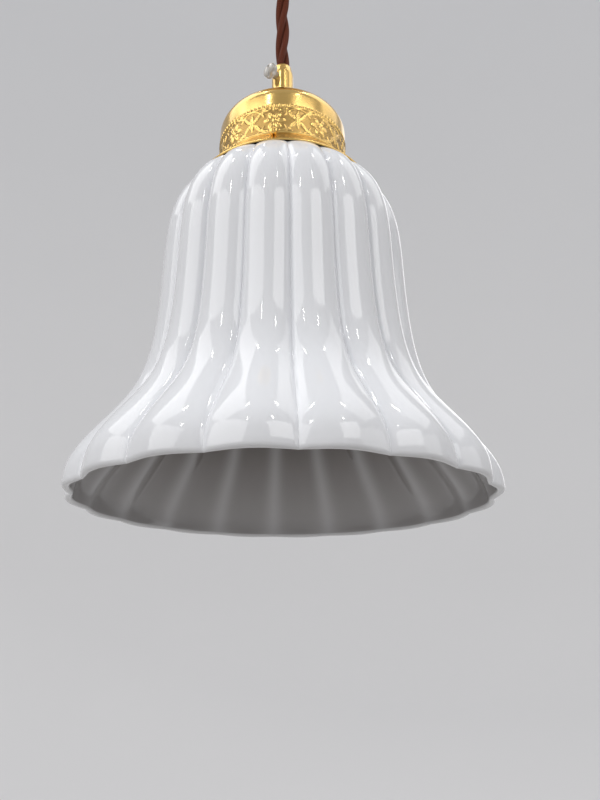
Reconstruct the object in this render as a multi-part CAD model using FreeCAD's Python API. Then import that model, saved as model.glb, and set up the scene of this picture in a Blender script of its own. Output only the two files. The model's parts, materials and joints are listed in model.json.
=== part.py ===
import FreeCAD, Part
import math
import os
from FreeCAD import Vector

# A pendant lamp: a fluted glass bell in a brass gallery, hung on a flex from a ceiling rose.
# The origin is on the lamp's axis in the ceiling plane, +Z points up, and all sizes are in mm.

# Ceiling rose
PLATE_RADIUS = 35.0
PLATE_THICKNESS = 1.5
FIXING_SPACING = 50.8
FIXING_SLOT_LENGTH = 10.0
FIXING_SLOT_WIDTH = 4.5
CABLE_HOLE_RADIUS = 6.0
EAR_WIDTH = 12.0
EAR_DROP = 7.5
ROSE_RADIUS = 42.0
ROSE_DEPTH = 26.0
ROSE_WALL = 1.0
ROSE_SKIRT = 9.0
ROSE_FACETS = 6
BOSS_RADIUS = 12.0
BOSS_LENGTH = 11.0
ROSE_SCREW_RADIUS = 1.75
ROSE_SCREW_HEAD_RADIUS = 3.6
ROSE_SCREW_HEAD_LENGTH = 3.0

# Terminal block in the rose
BLOCK_LENGTH = 26.0
BLOCK_WIDTH = 12.0
BLOCK_HEIGHT = 12.0
TERMINAL_PITCH = 12.0
TERMINAL_RADIUS = 2.6
TERMINAL_BORE_RADIUS = 1.6
TERMINAL_SCREW_RADIUS = 1.3

# Flex and its knot
FLEX_RADIUS = 3.8
FLEX_DROP = 84.2
KNOT_RADIUS = 8.0
KNOT_FACETS = 10
KNOT_ABOVE_BOSS_END = 7.0
SEAT_GAP = 0.3
BUSH_LIP = 1.5

# Cord grip
GRIP_HEIGHT = 32.8
GRIP_RADIUS = 5.8
GRIP_TOP_RADIUS = 4.9
GRIP_NOSE_HEIGHT = 5.0
GRIP_FOOT_RADIUS = 7.0
GRIP_FOOT_HEIGHT = 1.6
GRIP_SCREW_BELOW_TOP = 7.8
GRIP_SCREW_ANGLE = 225.0
GRIP_SCREW_RADIUS = 2.0
GRIP_SCREW_HEAD_RADIUS = 4.0
GRIP_SCREW_HEAD_LENGTH = 3.4
GRIP_SCREW_STAND_OFF = 2.6

# Threaded tube and its washer and nut
NIPPLE_RADIUS = 5.0
NIPPLE_BORE_RADIUS = 3.9
NIPPLE_IN_GRIP = 12.0
WASHER_RADIUS = 8.0
WASHER_THICKNESS = 0.8
NUT_ACROSS_FLATS = 14.0
NUT_THICKNESS = 2.5

# Gallery
GALLERY_HEIGHT = 50.75
GALLERY_RADIUS = 32.6
GALLERY_WALL = 0.9
FLANGE_RADIUS = 44.0
FLANGE_RISE = 13.25
FLANGE_EDGE = 1.0
FLANGE_SEAT = 1.1
FLANGE_HOLLOW = 0.7
SEAT_SLOPE = 0.45
CROWN_WIDTH = 24.0
CROWN_RISE = 14.5
CROWN_FACETS = 6
FLANGE_FACETS = 4
GALLERY_SCREW_COUNT = 3
GALLERY_SCREW_ANGLE = -100.0
GALLERY_SCREW_HEIGHT = 12.35
GALLERY_SCREW_RADIUS = 1.4
GALLERY_SCREW_HEAD_RADIUS = 1.9
GALLERY_SCREW_HEAD_LENGTH = 1.5
GALLERY_SCREW_STAND_OFF = 2.4
SCREW_BOSS_RADIUS = 3.0
SCREW_BOSS_LENGTH = 1.8

# Glass bell, with its heights counted from the rim
LOBES = 18
BELL_HEIGHT = 157.25
RIM_RADIUS = 92.5
WAIST_RADIUS = 59.8
WAIST_HEIGHT = 76.0
SHOULDER_RADIUS = 55.6
SHOULDER_HEIGHT = 136.0
SEAT_RADIUS = 43.6
NECK_RADIUS = 26.3
NECK_BORE_RADIUS = 22.8
SEAT_DROP = 0.05
TOP_RISE = 3.5
LIP_RADIUS = 28.5
LIP_HEIGHT = 4.5
GLASS = 3.5
GROOVE_DEPTH = 0.058
INNER_GROOVE_SHARE = 0.75
FLARE_CURVE = ((0.0, 1.0), (0.12, 0.969), (0.21, 0.872), (0.30, 0.726), (0.44, 0.469), (0.59, 0.239), (0.78, 0.080),
               (1.0, 0.0))
SHOULDER_CURVE = ((0.0, 1.0), (0.377, 0.792), (0.689, 0.492), (0.887, 0.222), (1.0, 0.0))

# Lampholder
HOLDER_RADIUS = 19.6
HOLDER_WALL = 0.8
HOLDER_FACETS = 5
HOLDER_CAP_HEIGHT = 25.0
HOLDER_HUB_RADIUS = 8.0
HOLDER_HUB_HEIGHT = 8.0
SKIRT_HEIGHT = 19.0
SKIRT_LIP_RADIUS = 15.6
BODY_HEIGHT = 27.0
SHELL_RADIUS = 14.0
SHELL_WALL = 0.5
SHELL_HEIGHT = 19.0
CONTACT_THICKNESS = 0.5
CONTACT_WIDTH = 5.0
HOLDER_POST_OFFSET = 9.5
HOLDER_POST_RADIUS = 2.3
HOLDER_POST_HEIGHT = 5.0

# Bulb
CAP_RADIUS = 13.1
CAP_HEIGHT = 22.0
CAP_WALL = 0.4
BULB_RADIUS = 22.5
BULB_LENGTH = 74.0
BULB_GLASS = 0.8
BULB_FACETS = 9
BULB_NECK_RADIUS = 12.4
BULB_TIP_RADIUS = 4.0
STEM_RADIUS = 4.5
STEM_HEIGHT = 26.0
WIRE_RADIUS = 0.35
FILAMENT_SPAN = 7.0

# Fits
RUNNING_GAP = 0.05
MOVING_GAP = 0.3
SEATING_BITE = 0.1

# Levels, from the ceiling down
BOSS_END_Z = -ROSE_DEPTH - BOSS_LENGTH
PIVOT_Z = BOSS_END_Z + KNOT_ABOVE_BOSS_END
GRIP_TOP_Z = PIVOT_Z - FLEX_DROP
GALLERY_TOP_Z = GRIP_TOP_Z - GRIP_HEIGHT
FLANGE_Z = GALLERY_TOP_Z - GALLERY_HEIGHT
RIM_Z = FLANGE_Z - BELL_HEIGHT
GRIP_SCREW_Z = GRIP_TOP_Z - GRIP_SCREW_BELOW_TOP
NIPPLE_TOP_Z = GALLERY_TOP_Z + NIPPLE_IN_GRIP
WASHER_Z = GALLERY_TOP_Z - GALLERY_WALL - WASHER_THICKNESS
NUT_Z = WASHER_Z - NUT_THICKNESS
SKIRT_TOP_Z = NUT_Z - HOLDER_CAP_HEIGHT
SKIRT_END_Z = SKIRT_TOP_Z - SKIRT_HEIGHT
BODY_END_Z = SKIRT_END_Z + HOLDER_WALL
BODY_TOP_Z = BODY_END_Z + BODY_HEIGHT
SHELL_TOP_Z = BODY_END_Z + 1.0 + SHELL_HEIGHT
CAP_TOP_Z = SHELL_TOP_Z - 1.5
CAP_END_Z = CAP_TOP_Z - CAP_HEIGHT
BULB_END_Z = CAP_TOP_Z + 2.0 - BULB_LENGTH
GALLERY_SCREW_Z = FLANGE_Z + GALLERY_SCREW_HEIGHT

UP = Vector(0, 0, 1)


def save(name, shape):
    """Write one sub-part as a STEP file."""
    shape.exportStep("parts/" + name + ".step")


def turned(*outline):
    """Turn a closed outline of (radius, z) points about the lamp's axis."""
    points = [Vector(radius, 0, z) for radius, z in outline + outline[:1]]
    return Part.Face(Part.makePolygon(points)).revolve(Vector(0, 0, 0), UP, 360)


def bow(centre, across, up, start, end, steps):
    """(radius, z) points along an elliptical arc about a centre, between two angles in degrees."""
    angles = [math.radians(start + (end - start) * step / steps) for step in range(steps + 1)]
    return [(centre[0] + across * math.cos(angle), centre[1] + up * math.sin(angle)) for angle in angles]


def hollow(start, end, depth, steps):
    """(radius, z) points along a shallow parabola that sags towards the axis between two points."""
    run, rise = end[0] - start[0], end[1] - start[1]
    points = []
    for step in range(steps + 1):
        along = step / steps
        dip = 4 * depth * along * (1 - along) / math.hypot(run, rise)
        points.append((start[0] + run * along - rise * dip, start[1] + rise * along + run * dip))
    return points


def tube(outer, inner, low, high):
    """A round tube on the lamp's axis between two levels."""
    return turned((inner, low), (outer, low), (outer, high), (inner, high))


def rod(radius, start, end):
    """A round bar between two points."""
    return Part.makeCylinder(radius, start.distanceToPoint(end), start, end - start)


def spoke(radius, near, far, z, angle):
    """A round bar that lies along a radius of the lamp, at a level and an angle in degrees."""
    out = Vector(math.cos(math.radians(angle)), math.sin(math.radians(angle)), 0)
    return rod(radius, out * near + UP * z, out * far + UP * z)


def slot_cut(width, depth, near, far, z, angle):
    """The straight slot of a screw head whose screw lies along a radius of the lamp."""
    bar = Part.makeBox(depth, width, 2 * far, Vector(near, -width / 2, -far))
    bar.rotate(Vector(0, 0, 0), UP, angle)
    bar.translate(UP * z)
    return bar


# Ceiling rose

def fixing_slot(x):
    """A through slot in the ceiling plate, long in X."""
    straight = FIXING_SLOT_LENGTH - FIXING_SLOT_WIDTH
    depth = 3 * PLATE_THICKNESS
    low = Vector(x - straight / 2, -FIXING_SLOT_WIDTH / 2, -2 * PLATE_THICKNESS)
    slot = Part.makeBox(straight, FIXING_SLOT_WIDTH, depth, low)
    for end in (-straight / 2, straight / 2):
        centre = Vector(x + end, 0, -2 * PLATE_THICKNESS)
        slot = slot.fuse(Part.makeCylinder(FIXING_SLOT_WIDTH / 2, depth, centre))
    return slot


def ceiling_bracket():
    """A round plate with two slots, a cable hole and two bent ears that take the cover's screws."""
    inner = ROSE_RADIUS - ROSE_WALL
    plate = Part.makeCylinder(PLATE_RADIUS, PLATE_THICKNESS, Vector(0, 0, -PLATE_THICKNESS))
    tongue = Part.makeBox(2 * inner, EAR_WIDTH, PLATE_THICKNESS + EAR_DROP,
                          Vector(-inner, -EAR_WIDTH / 2, -PLATE_THICKNESS - EAR_DROP))
    ears = tube(inner, inner - PLATE_THICKNESS, -PLATE_THICKNESS - EAR_DROP, 0).common(tongue)
    arms = Part.makeCylinder(inner, PLATE_THICKNESS, Vector(0, 0, -PLATE_THICKNESS)).common(tongue)
    bracket = plate.fuse([arms, ears]).removeSplitter()
    for side in (-1, 1):
        bracket = bracket.cut(fixing_slot(side * FIXING_SPACING / 2))
        bracket = bracket.cut(spoke(ROSE_SCREW_RADIUS, inner - 3 * PLATE_THICKNESS, ROSE_RADIUS,
                                    -ROSE_SKIRT / 2 - PLATE_THICKNESS, 90 - side * 90))
    cable = Vector(0, -BLOCK_WIDTH - CABLE_HOLE_RADIUS / 2, -2 * PLATE_THICKNESS)
    return bracket.cut(Part.makeCylinder(CABLE_HOLE_RADIUS, 3 * PLATE_THICKNESS, cable))


def rose_cover():
    """A spun brass canopy with a short boss that holds the flex bush."""
    top = ROSE_RADIUS - ROSE_WALL
    lip = BOSS_RADIUS - ROSE_WALL - BUSH_LIP
    middle = (BOSS_RADIUS, -ROSE_SKIRT)
    across, drop = ROSE_RADIUS - BOSS_RADIUS, ROSE_DEPTH - ROSE_SKIRT
    outer = bow(middle, across, drop, 0, -90, ROSE_FACETS)
    inner = bow(middle, across - ROSE_WALL, drop - ROSE_WALL, -90, 0, ROSE_FACETS)
    cover = turned((top, 0), (ROSE_RADIUS, 0), *outer, (BOSS_RADIUS, BOSS_END_Z), (lip, BOSS_END_Z),
                   (lip, BOSS_END_Z + ROSE_WALL), (BOSS_RADIUS - ROSE_WALL, BOSS_END_Z + ROSE_WALL),
                   (BOSS_RADIUS - ROSE_WALL, -ROSE_DEPTH + ROSE_WALL), *inner)
    for angle in (0, 180):
        cover = cover.cut(spoke(ROSE_SCREW_RADIUS, top - ROSE_WALL, ROSE_RADIUS + ROSE_WALL,
                                -ROSE_SKIRT / 2 - PLATE_THICKNESS, angle))
    return cover


def rose_screws():
    """The two side screws that hold the cover to the bracket's ears."""
    z = -ROSE_SKIRT / 2 - PLATE_THICKNESS
    screws = []
    for angle in (0, 180):
        shank = spoke(ROSE_SCREW_RADIUS, ROSE_RADIUS - ROSE_WALL - 3 * PLATE_THICKNESS, ROSE_RADIUS, z, angle)
        far = ROSE_RADIUS + ROSE_SCREW_HEAD_LENGTH
        head = spoke(ROSE_SCREW_HEAD_RADIUS, ROSE_RADIUS, far, z, angle)
        screws.append(shank.fuse(head).cut(slot_cut(1.0, 1.0, far - 1.0, far, z, angle)))
    return Part.makeCompound(screws)


def outlet_bush():
    """The nylon bush in the boss: a round seat for the knot and a flared mouth for the flex."""
    outer = BOSS_RADIUS - ROSE_WALL
    seat = KNOT_RADIUS + SEAT_GAP
    high, low = PIVOT_Z - 2.0, PIVOT_Z - 5.0
    throat = math.sqrt(seat ** 2 - (low - PIVOT_Z) ** 2)
    mouth = math.sqrt(seat ** 2 - (high - PIVOT_Z) ** 2)
    middle = 0.5 * (high + low)
    seat_point = (math.sqrt(seat ** 2 - (middle - PIVOT_Z) ** 2), middle)
    shelf, end = BOSS_END_Z + ROSE_WALL, BOSS_END_Z - BUSH_LIP
    return turned((mouth, high), (outer, high), (outer, shelf), (outer - BUSH_LIP, shelf),
                  (outer - BUSH_LIP, end), (throat + 1.6, end), (throat, low - 1.0), (throat, low),
                  seat_point)


def terminal_places():
    """Where the terminal tubes lie under the ceiling plate."""
    return [Vector(side * TERMINAL_PITCH / 2, BLOCK_WIDTH, -PLATE_THICKNESS - BLOCK_HEIGHT / 2) for side in (-1, 1)]


def terminal_block():
    """The moulded two-pole block, with a through hole for each tube and a well for each screw."""
    low = Vector(-BLOCK_LENGTH / 2, BLOCK_WIDTH / 2, -PLATE_THICKNESS - BLOCK_HEIGHT)
    block = Part.makeBox(BLOCK_LENGTH, BLOCK_WIDTH, BLOCK_HEIGHT, low)
    block = block.makeFillet(1.0, [edge for edge in block.Edges if abs(edge.tangentAt(0).z) > 0.9])
    for place in terminal_places():
        run = Vector(0, BLOCK_WIDTH, 0)
        block = block.cut(rod(TERMINAL_RADIUS, place - run, place + run))
        for side in (-1, 1):
            well = place + Vector(0, side * BLOCK_WIDTH / 4, -BLOCK_HEIGHT)
            block = block.cut(rod(TERMINAL_SCREW_RADIUS + MOVING_GAP, well, well + UP * BLOCK_HEIGHT))
    return block


def terminal_tubes():
    """The two brass tubes, bored for the cores and tapped for the screws."""
    tubes = []
    for place in terminal_places():
        run = Vector(0, BLOCK_WIDTH / 2 - 1.0, 0)
        barrel = rod(TERMINAL_RADIUS, place - run, place + run)
        barrel = barrel.cut(rod(TERMINAL_BORE_RADIUS, place - 2 * run, place + 2 * run))
        for side in (-1, 1):
            hole = place + Vector(0, side * BLOCK_WIDTH / 4, -BLOCK_HEIGHT)
            barrel = barrel.cut(rod(TERMINAL_SCREW_RADIUS, hole, hole + UP * BLOCK_HEIGHT))
        tubes.append(barrel)
    return Part.makeCompound(tubes)


def terminal_screws():
    """The four screws of the terminal block."""
    screws = []
    for place in terminal_places():
        for side in (-1, 1):
            centre = place + Vector(0, side * BLOCK_WIDTH / 4, 0)
            screws.append(rod(TERMINAL_SCREW_RADIUS, centre - UP * (BLOCK_HEIGHT / 2 - 1.0),
                              centre - UP * (TERMINAL_BORE_RADIUS / 2)))
    return Part.makeCompound(screws)


# Flex

def flex_knot():
    """The tight ball of the knotted flex that rests in the bush."""
    return turned(*bow((0, PIVOT_Z), KNOT_RADIUS, KNOT_RADIUS, -90, 90, KNOT_FACETS))


def flex_cord():
    """The straight, taut flex from the knot into the cord grip."""
    top = PIVOT_Z - KNOT_RADIUS - RUNNING_GAP
    end = NIPPLE_TOP_Z + 1.0
    return Part.makeCylinder(FLEX_RADIUS, top - end, Vector(0, 0, end))


# Cord grip and threaded tube

def cord_grip():
    """A turned brass sleeve on the threaded tube, with a foot, a tapered nose and a tapped side hole."""
    bore = FLEX_RADIUS + MOVING_GAP
    nose = GRIP_TOP_Z - 0.5
    taper = GRIP_TOP_Z - GRIP_NOSE_HEIGHT
    foot = GALLERY_TOP_Z + GRIP_FOOT_HEIGHT
    grip = turned((NIPPLE_RADIUS, GALLERY_TOP_Z), (GRIP_FOOT_RADIUS, GALLERY_TOP_Z),
                  (GRIP_FOOT_RADIUS, foot - 0.6), (GRIP_FOOT_RADIUS - 0.6, foot), (GRIP_RADIUS, foot),
                  (GRIP_RADIUS, taper), (GRIP_TOP_RADIUS, nose), (GRIP_TOP_RADIUS - 0.4, GRIP_TOP_Z),
                  (bore, GRIP_TOP_Z), (bore, NIPPLE_TOP_Z), (NIPPLE_RADIUS, NIPPLE_TOP_Z))
    return grip.cut(spoke(GRIP_SCREW_RADIUS + RUNNING_GAP, 0, 2 * GRIP_RADIUS, GRIP_SCREW_Z, GRIP_SCREW_ANGLE))


def grip_screw():
    """The clear nylon side screw that nips the flex."""
    near = GRIP_RADIUS + GRIP_SCREW_STAND_OFF
    far = near + GRIP_SCREW_HEAD_LENGTH
    shank = spoke(GRIP_SCREW_RADIUS, FLEX_RADIUS + MOVING_GAP, near, GRIP_SCREW_Z, GRIP_SCREW_ANGLE)
    head = spoke(GRIP_SCREW_HEAD_RADIUS, near, far, GRIP_SCREW_Z, GRIP_SCREW_ANGLE)
    head = head.makeChamfer(0.6, [edge for edge in head.Edges if edge.Closed])
    return shank.fuse(head).cut(slot_cut(1.3, 1.5, far - 1.5, far, GRIP_SCREW_Z, GRIP_SCREW_ANGLE))


def nipple():
    """The threaded brass tube that joins grip, gallery and lampholder."""
    return tube(NIPPLE_RADIUS, NIPPLE_BORE_RADIUS, NUT_Z - HOLDER_HUB_HEIGHT, NIPPLE_TOP_Z)


def lock_washer():
    """A toothed washer under the gallery's top."""
    washer = tube(WASHER_RADIUS, NIPPLE_RADIUS, WASHER_Z, WASHER_Z + WASHER_THICKNESS)
    teeth = 12
    for index in range(teeth):
        notch = spoke(0.5, WASHER_RADIUS - 1.2, WASHER_RADIUS + 1.0, WASHER_Z, 360.0 * index / teeth)
        washer = washer.cut(notch)
    return washer


def locknut():
    """The hexagonal nut on the threaded tube."""
    corner = NUT_ACROSS_FLATS / math.sqrt(3)
    points = [Vector(corner * math.cos(math.radians(60 * i)), corner * math.sin(math.radians(60 * i)), NUT_Z)
              for i in range(7)]
    prism = Part.Face(Part.makePolygon(points)).extrude(UP * NUT_THICKNESS)
    return prism.cut(Part.makeCylinder(NIPPLE_RADIUS, 3 * NUT_THICKNESS, Vector(0, 0, NUT_Z - NUT_THICKNESS)))


# Gallery

def gallery():
    """The pressed brass gallery: a thin flared flange, an upright band and a low crown."""
    wall, crown = GALLERY_WALL, GALLERY_TOP_Z
    middle = (GALLERY_RADIUS - CROWN_WIDTH, crown - CROWN_RISE)
    low, foot = FLANGE_Z - SEATING_BITE, FLANGE_Z + FLANGE_RISE
    outside = hollow((FLANGE_RADIUS, FLANGE_Z + FLANGE_EDGE), (GALLERY_RADIUS, foot), FLANGE_HOLLOW, FLANGE_FACETS)
    inside = hollow((FLANGE_RADIUS - FLANGE_SEAT, FLANGE_Z + SEAT_SLOPE * FLANGE_SEAT),
                    (GALLERY_RADIUS - wall, foot - 0.3), FLANGE_HOLLOW, FLANGE_FACETS)[::-1]
    shell = turned((FLANGE_RADIUS - 0.4, low), (FLANGE_RADIUS, low + 0.4), *outside,
                   *bow(middle, CROWN_WIDTH, CROWN_RISE, 0, 90, CROWN_FACETS),
                   (NIPPLE_RADIUS, crown), (NIPPLE_RADIUS, crown - wall),
                   *bow(middle, CROWN_WIDTH - wall, CROWN_RISE - wall, 90, 0, CROWN_FACETS), *inside)
    for angle in gallery_screw_angles():
        near = GALLERY_RADIUS - wall - SCREW_BOSS_LENGTH
        boss = spoke(SCREW_BOSS_RADIUS, near, GALLERY_RADIUS - wall / 2, GALLERY_SCREW_Z + 1.2, angle)
        shell = shell.fuse(boss)
    for angle in gallery_screw_angles():
        hole = spoke(GALLERY_SCREW_RADIUS + RUNNING_GAP, NECK_RADIUS, FLANGE_RADIUS + 1, GALLERY_SCREW_Z, angle)
        shell = shell.cut(hole)
    return shell.removeSplitter()


def gallery_screw_angles():
    """The angles of the shade's holding screws."""
    return [GALLERY_SCREW_ANGLE + 360.0 * i / GALLERY_SCREW_COUNT for i in range(GALLERY_SCREW_COUNT)]


def gallery_screw(angle):
    """One small slotted screw that reaches in under the shade's lip."""
    near = GALLERY_RADIUS + GALLERY_SCREW_STAND_OFF
    far = near + GALLERY_SCREW_HEAD_LENGTH
    shank = spoke(GALLERY_SCREW_RADIUS, NECK_RADIUS + MOVING_GAP, near, GALLERY_SCREW_Z, angle)
    head = spoke(GALLERY_SCREW_HEAD_RADIUS, near, far, GALLERY_SCREW_Z, angle)
    return shank.fuse(head).cut(slot_cut(0.6, 0.7, far - 0.7, far, GALLERY_SCREW_Z, angle))


# Glass bell

def bell_points():
    """(radius, z) points down the outside of the bell over the crest of a flute, from rim to neck."""
    flare = [(WAIST_RADIUS + (RIM_RADIUS - WAIST_RADIUS) * bulge, WAIST_HEIGHT * share)
             for share, bulge in FLARE_CURVE]
    middle = [(0.62 * WAIST_RADIUS + 0.38 * SHOULDER_RADIUS, 0.5 * (WAIST_HEIGHT + SHOULDER_HEIGHT))]
    seat = BELL_HEIGHT - SEAT_DROP
    shoulder = [(SEAT_RADIUS + (SHOULDER_RADIUS - SEAT_RADIUS) * bulge, SHOULDER_HEIGHT + (seat - SHOULDER_HEIGHT) * share)
                for share, bulge in SHOULDER_CURVE]
    neck = [(0.5 * (SEAT_RADIUS + NECK_RADIUS), seat + TOP_RISE)]
    return [(radius, RIM_Z + height) for radius, height in flare + middle + shoulder + neck]


def groove_share(z):
    """How much of the flutes' full depth is left at a level: all of it below the shoulder, none at the neck."""
    fade_start = RIM_Z + 0.5 * (SHOULDER_HEIGHT + BELL_HEIGHT)
    fade_end = FLANGE_Z + TOP_RISE
    part = min(max((z - fade_start) / (fade_end - fade_start), 0.0), 1.0)
    return 1.0 - part * part


def fluted_ring(crest, depth, z):
    """A closed ring of convex arcs, one per flute, that meet in grooves."""
    groove = crest * (1.0 - depth)
    step = 2 * math.pi / LOBES
    edges = []
    for index in range(LOBES):
        start = -math.pi / 2 + index * step
        points = [Vector(radius * math.cos(angle), radius * math.sin(angle), z) for radius, angle in
                  ((groove, start), (crest, start + step / 2), (groove, start + step))]
        edges.append(Part.Arc(*points).toShape())
    return Part.Wire(edges)


def bell_form(offset, depth):
    """A solid bell whose side is the crest profile moved inwards by offset, with flutes of this depth."""
    points = [Vector(radius, 0, z) for radius, z in bell_points()]
    profile = Part.BSplineCurve()
    profile.interpolate(points)
    rings = []
    for point in points:
        along = profile.tangent(profile.parameter(point))[0]
        moved = point + Vector(-along.z, 0, along.x) * offset
        z = RIM_Z - GLASS if offset and not rings else moved.z
        rings.append(fluted_ring(moved.x, depth * groove_share(moved.z), z))
    return Part.makeLoft(rings, True, True)


def shade():
    """The fluted glass bell with its lipped neck."""
    lip_low = GALLERY_SCREW_Z + GALLERY_SCREW_RADIUS + MOVING_GAP
    neck_top = lip_low + LIP_HEIGHT
    neck = Part.makeCylinder(NECK_RADIUS, neck_top - FLANGE_Z, Vector(0, 0, FLANGE_Z))
    lip = turned((NECK_BORE_RADIUS, lip_low), (NECK_RADIUS, lip_low), (LIP_RADIUS, lip_low + 0.3 * LIP_HEIGHT),
                 (LIP_RADIUS, lip_low + 0.7 * LIP_HEIGHT), (NECK_RADIUS, neck_top), (NECK_BORE_RADIUS, neck_top))
    outside = bell_form(0.0, GROOVE_DEPTH).fuse([neck, lip])
    inside = bell_form(GLASS, GROOVE_DEPTH * INNER_GROOVE_SHARE)
    bore_low = FLANGE_Z - 3 * GLASS
    bore = Part.makeCylinder(NECK_BORE_RADIUS, neck_top + GLASS - bore_low, Vector(0, 0, bore_low))
    return outside.cut(inside.fuse(bore))


# Lampholder

def holder_cap():
    """The domed brass cap on the threaded tube."""
    wall = HOLDER_WALL
    knee_z = SKIRT_TOP_Z + 0.45 * HOLDER_CAP_HEIGHT
    middle = (HOLDER_HUB_RADIUS, knee_z)
    across, rise = HOLDER_RADIUS - HOLDER_HUB_RADIUS, NUT_Z - knee_z
    hub_z = NUT_Z - HOLDER_HUB_HEIGHT
    return turned((NIPPLE_RADIUS, NUT_Z), *bow(middle, across, rise, 90, 0, HOLDER_FACETS),
                  (HOLDER_RADIUS, SKIRT_TOP_Z), (HOLDER_RADIUS - wall, SKIRT_TOP_Z),
                  *bow(middle, across - wall, rise - wall, 0, 90, HOLDER_FACETS),
                  (HOLDER_HUB_RADIUS, hub_z), (NIPPLE_RADIUS, hub_z))


def holder_skirt():
    """The brass sleeve below the cap, turned in at its lower end."""
    wall = HOLDER_WALL
    bead = SKIRT_TOP_Z - 2.0
    return turned((HOLDER_RADIUS - wall, SKIRT_TOP_Z), (HOLDER_RADIUS, SKIRT_TOP_Z),
                  (HOLDER_RADIUS + 0.7, SKIRT_TOP_Z - 0.6), (HOLDER_RADIUS + 0.7, bead + 0.6), (HOLDER_RADIUS, bead),
                  (HOLDER_RADIUS, SKIRT_END_Z + wall), (HOLDER_RADIUS - wall, SKIRT_END_Z),
                  (SKIRT_LIP_RADIUS, SKIRT_END_Z), (SKIRT_LIP_RADIUS, SKIRT_END_Z + wall),
                  (HOLDER_RADIUS - wall, SKIRT_END_Z + wall))


def holder_body():
    """The white porcelain body that carries the screw shell and the terminals."""
    outer = HOLDER_RADIUS - HOLDER_WALL
    roof = SHELL_TOP_Z + 3.0
    return turned((SHELL_RADIUS, BODY_END_Z), (outer, BODY_END_Z), (outer, BODY_TOP_Z - 1.0),
                  (outer - 1.0, BODY_TOP_Z), (3.0, BODY_TOP_Z), (3.0, roof), (SHELL_RADIUS, roof))


def screw_shell():
    """The thin threaded shell that takes the bulb's cap, shown plain."""
    low = BODY_END_Z + 1.0
    return tube(SHELL_RADIUS, SHELL_RADIUS - SHELL_WALL, low, SHELL_TOP_Z)


def centre_contact():
    """A springy bronze tongue in the middle of the body's roof."""
    roof = SHELL_TOP_Z + 3.0
    half = 0.55 * SHELL_RADIUS
    thick = CONTACT_THICKNESS
    points = [(-half, roof), (-half, roof - thick), (-2.0, roof - 2.2), (2.0, roof - 2.2),
              (2.0, roof - 2.2 + thick), (-2.0, roof - 2.2 + thick), (-half + 2.5, roof)]
    outline = [Vector(x, -CONTACT_WIDTH / 2, z) for x, z in points]
    return Part.Face(Part.makePolygon(outline + outline[:1])).extrude(Vector(0, CONTACT_WIDTH, 0))


def post_places():
    """Where the two terminal posts stand on the body."""
    return [Vector(side * HOLDER_POST_OFFSET, 0, BODY_TOP_Z) for side in (-1, 1)]


def holder_terminals():
    """Two brass posts with a cross hole for a core."""
    posts = []
    for place in post_places():
        post = rod(HOLDER_POST_RADIUS, place, place + UP * HOLDER_POST_HEIGHT)
        middle = place + UP * (0.45 * HOLDER_POST_HEIGHT)
        reach = Vector(0, 2 * HOLDER_POST_RADIUS, 0)
        posts.append(post.cut(rod(1.0, middle - reach, middle + reach)))
    return Part.makeCompound(posts)


def holder_terminal_screws():
    """The slotted screws on top of the posts."""
    screws = []
    for place in post_places():
        base = place + UP * HOLDER_POST_HEIGHT
        head = rod(HOLDER_POST_RADIUS - 0.3, base, base + UP * 1.2)
        slot = Part.makeBox(2 * HOLDER_POST_RADIUS, 0.6, 1.0,
                            base + Vector(-HOLDER_POST_RADIUS, -0.3, 0.6))
        screws.append(head.cut(slot))
    return Part.makeCompound(screws)


# Bulb

def bulb_glass():
    """A small round bulb: a ball that draws in to a neck held in the cap."""
    centre = (0, BULB_END_Z + BULB_RADIUS)
    neck_z = CAP_END_Z + 2.0
    forms = []
    for wall in (0.0, BULB_GLASS):
        radius, neck = BULB_RADIUS - wall, BULB_NECK_RADIUS - wall
        ball = bow(centre, radius, radius, -90, 40, BULB_FACETS)
        forms.append(turned(*ball, (neck + 0.8, neck_z - 7.0), (neck, neck_z - 3.0), (neck, neck_z), (0, neck_z)))
    return forms[0].cut(forms[1])


def bulb_cap():
    """The rolled metal cap of the bulb, with its thread shown as a plain sleeve."""
    inner = CAP_RADIUS - CAP_WALL
    shoulder = CAP_TOP_Z - 3.0
    return turned((inner, CAP_END_Z), (CAP_RADIUS, CAP_END_Z), (CAP_RADIUS, shoulder),
                  (BULB_TIP_RADIUS + 3.0, CAP_TOP_Z), (BULB_TIP_RADIUS + 3.0, CAP_TOP_Z - CAP_WALL),
                  (inner, shoulder - CAP_WALL))


def bulb_insulator():
    """The dark glass ring between the cap and the centre contact."""
    outer = BULB_TIP_RADIUS + 3.0
    return turned((BULB_TIP_RADIUS, CAP_TOP_Z - CAP_WALL), (outer, CAP_TOP_Z - CAP_WALL),
                  (outer, CAP_TOP_Z), (BULB_TIP_RADIUS, CAP_TOP_Z + 1.0))


def bulb_contact():
    """The soldered centre contact."""
    low = CAP_TOP_Z - CAP_WALL
    top = CAP_TOP_Z + 2.0
    return turned((0, low), (BULB_TIP_RADIUS, low), (BULB_TIP_RADIUS, CAP_TOP_Z + 1.0),
                  (0.6 * BULB_TIP_RADIUS, top), (0, top))


def bulb_stem():
    """The glass stem that stands in the neck and carries the filament."""
    neck_z = CAP_END_Z + 2.0
    wide = BULB_NECK_RADIUS - BULB_GLASS
    end = neck_z - STEM_HEIGHT
    return turned((0, end), (STEM_RADIUS / 2, end), (STEM_RADIUS / 2, end + 0.5 * STEM_HEIGHT),
                  (STEM_RADIUS, neck_z - 6.0), (wide, neck_z - 1.0), (wide, neck_z), (0, neck_z))


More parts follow.
